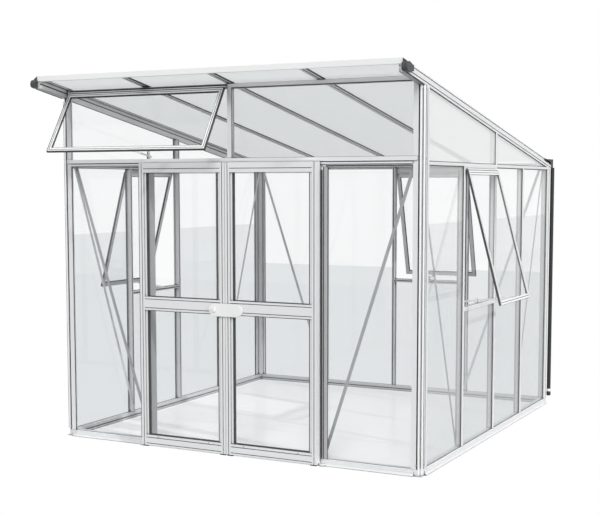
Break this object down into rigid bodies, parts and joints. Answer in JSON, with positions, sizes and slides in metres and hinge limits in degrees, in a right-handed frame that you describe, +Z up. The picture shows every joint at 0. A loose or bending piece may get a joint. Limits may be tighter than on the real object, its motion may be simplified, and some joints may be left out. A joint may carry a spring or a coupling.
{
  "type": "greenhouse",
  "caption": "Free-standing mono-pitch aluminium greenhouse with glass walls, an opal sheet roof, sliding doors in the high front and top-hung windows on stays.",
  "frame": {"origin": "on the ground below the middle of the front wall's outer face, at the middle of the front sill's underside edge", "axes": "+Z up; the high front wall with the sliding doors looks along -Y and +Y runs back to the low rear wall; +X is to the right seen from the front"},
  "size_m": [3.0428, 3.1784, 2.378],
  "materials": {
    "aluminium": "bright anodised, fine drawn lines along the profiles",
    "glass": "clear polished sheet",
    "opal": "opal twin-wall sheet, semi-matte",
    "dark_plastic": "dark grey moulded, fine grain",
    "black_plastic": "black moulded, fine grain",
    "white_plastic": "white moulded, semi-gloss"
  },
  "bodies": {
    "house": {"base_frame": "aluminium", "post_front_left": "aluminium", "post_front_right": "aluminium", "post_rear_left": "aluminium", "post_rear_right": "aluminium", "left_wall_bars": "aluminium", "right_wall_bars": "aluminium", "rear_wall_bars": "aluminium", "front_wall_frame": "aluminium", "roof_bar_1": "aluminium", "roof_bar_2": "aluminium", "roof_bar_3": "aluminium", "front_hood": "aluminium", "roof_sheet_1": "opal", "roof_sheet_2": "opal", "roof_sheet_3": "opal", "roof_sheet_4": "opal", "hood_cap_left": "dark_plastic", "hood_cap_right": "dark_plastic", "gutter_cap_left": "black_plastic", "downpipe": "black_plastic", "left_pane_front": "glass", "left_pane_below_window": "glass", "left_pane_middle": "glass", "left_pane_rear": "glass", "right_pane_front": "glass", "right_pane_below_window": "glass", "right_pane_middle": "glass", "right_pane_rear": "glass", "left_gable_pane_front": "glass", "left_gable_pane_rear": "glass", "right_gable_pane_front": "glass", "right_gable_pane_rear": "glass", "rear_pane_left": "glass", "rear_pane_middle": "glass", "rear_pane_below_window": "glass", "rear_pane_right": "glass", "front_pane_left": "glass", "front_pane_right": "glass", "front_pane_top": "glass"},
    "left_door": {"left_door_frame": "aluminium", "left_door_pane_upper": "glass", "left_door_pane_lower": "glass", "lock_cover": "white_plastic"},
    "lock_knob": {"lock_knob": "white_plastic"},
    "right_door": {"right_door_frame": "aluminium", "right_door_pane_upper": "glass", "right_door_pane_lower": "glass"},
    "left_window": {"left_window_frame": "aluminium", "left_window_glass": "glass"},
    "left_window_stay": {"left_window_stay": "aluminium"},
    "right_window": {"right_window_frame": "aluminium", "right_window_glass": "glass"},
    "right_window_stay": {"right_window_stay": "aluminium"},
    "rear_window": {"rear_window_frame": "aluminium", "rear_window_glass": "glass"},
    "rear_window_stay": {"rear_window_stay": "aluminium"},
    "front_vent": {"front_vent_frame": "aluminium", "front_vent_glass": "glass"},
    "front_vent_stay": {"front_vent_stay": "aluminium"}
  },
  "joints": [
    {"name": "left_door_slide", "type": "slide", "parent": "house", "child": "left_door", "axis": [-1, 0, 0], "range_m": [0, 0.59]},
    {"name": "right_door_slide", "type": "slide", "parent": "house", "child": "right_door", "axis": [1, 0, 0], "range_m": [0, 0.59]},
    {"name": "lock_knob_turn", "type": "hinge", "parent": "left_door", "child": "lock_knob", "pos_m": [-0.076, -0.0703, 0.918], "axis": [0, -1, 0], "range_deg": [0, 90]},
    {"name": "left_window_hinge", "type": "hinge", "parent": "house", "child": "left_window", "pos_m": [-1.29, 1.01, 1.784], "axis": [0, 1, 0], "range_deg": [-15, 3]},
    {"name": "left_window_stay_hinge", "type": "hinge", "parent": "left_window", "child": "left_window_stay", "pos_m": [-1.49382, 1.01, 0.97002], "axis": [0, 1, 0], "range_deg": [-3, 15]},
    {"name": "right_window_hinge", "type": "hinge", "parent": "house", "child": "right_window", "pos_m": [1.29, 1.01, 1.784], "axis": [0, -1, 0], "range_deg": [-15, 3]},
    {"name": "right_window_stay_hinge", "type": "hinge", "parent": "right_window", "child": "right_window_stay", "pos_m": [1.49382, 1.01, 0.97002], "axis": [0, -1, 0], "range_deg": [-3, 15]},
    {"name": "rear_window_hinge", "type": "hinge", "parent": "house", "child": "rear_window", "pos_m": [0.31, 2.65, 1.784], "axis": [1, 0, 0], "range_deg": [-15, 3]},
    {"name": "rear_window_stay_hinge", "type": "hinge", "parent": "rear_window", "child": "rear_window_stay", "pos_m": [0.31, 2.85382, 0.97002], "axis": [1, 0, 0], "range_deg": [-3, 15]},
    {"name": "front_vent_hinge", "type": "hinge", "parent": "house", "child": "front_vent", "pos_m": [-0.612, -0.016, 2.284], "axis": [-1, 0, 0], "range_deg": [-31.5, 3]},
    {"name": "front_vent_stay_hinge", "type": "hinge", "parent": "front_vent", "child": "front_vent_stay", "pos_m": [-0.612, -0.22629, 1.91442], "axis": [-1, 0, 0], "range_deg": [-1, 10]}
  ],
  "couplings": [
    {"joint": "left_window_stay_hinge", "follows": "left_window_hinge", "ratio": -1},
    {"joint": "right_window_stay_hinge", "follows": "right_window_hinge", "ratio": -1},
    {"joint": "rear_window_stay_hinge", "follows": "rear_window_hinge", "ratio": -1},
    {"joint": "front_vent_stay_hinge", "follows": "front_vent_hinge", "ratio": -0.3}
  ]
}
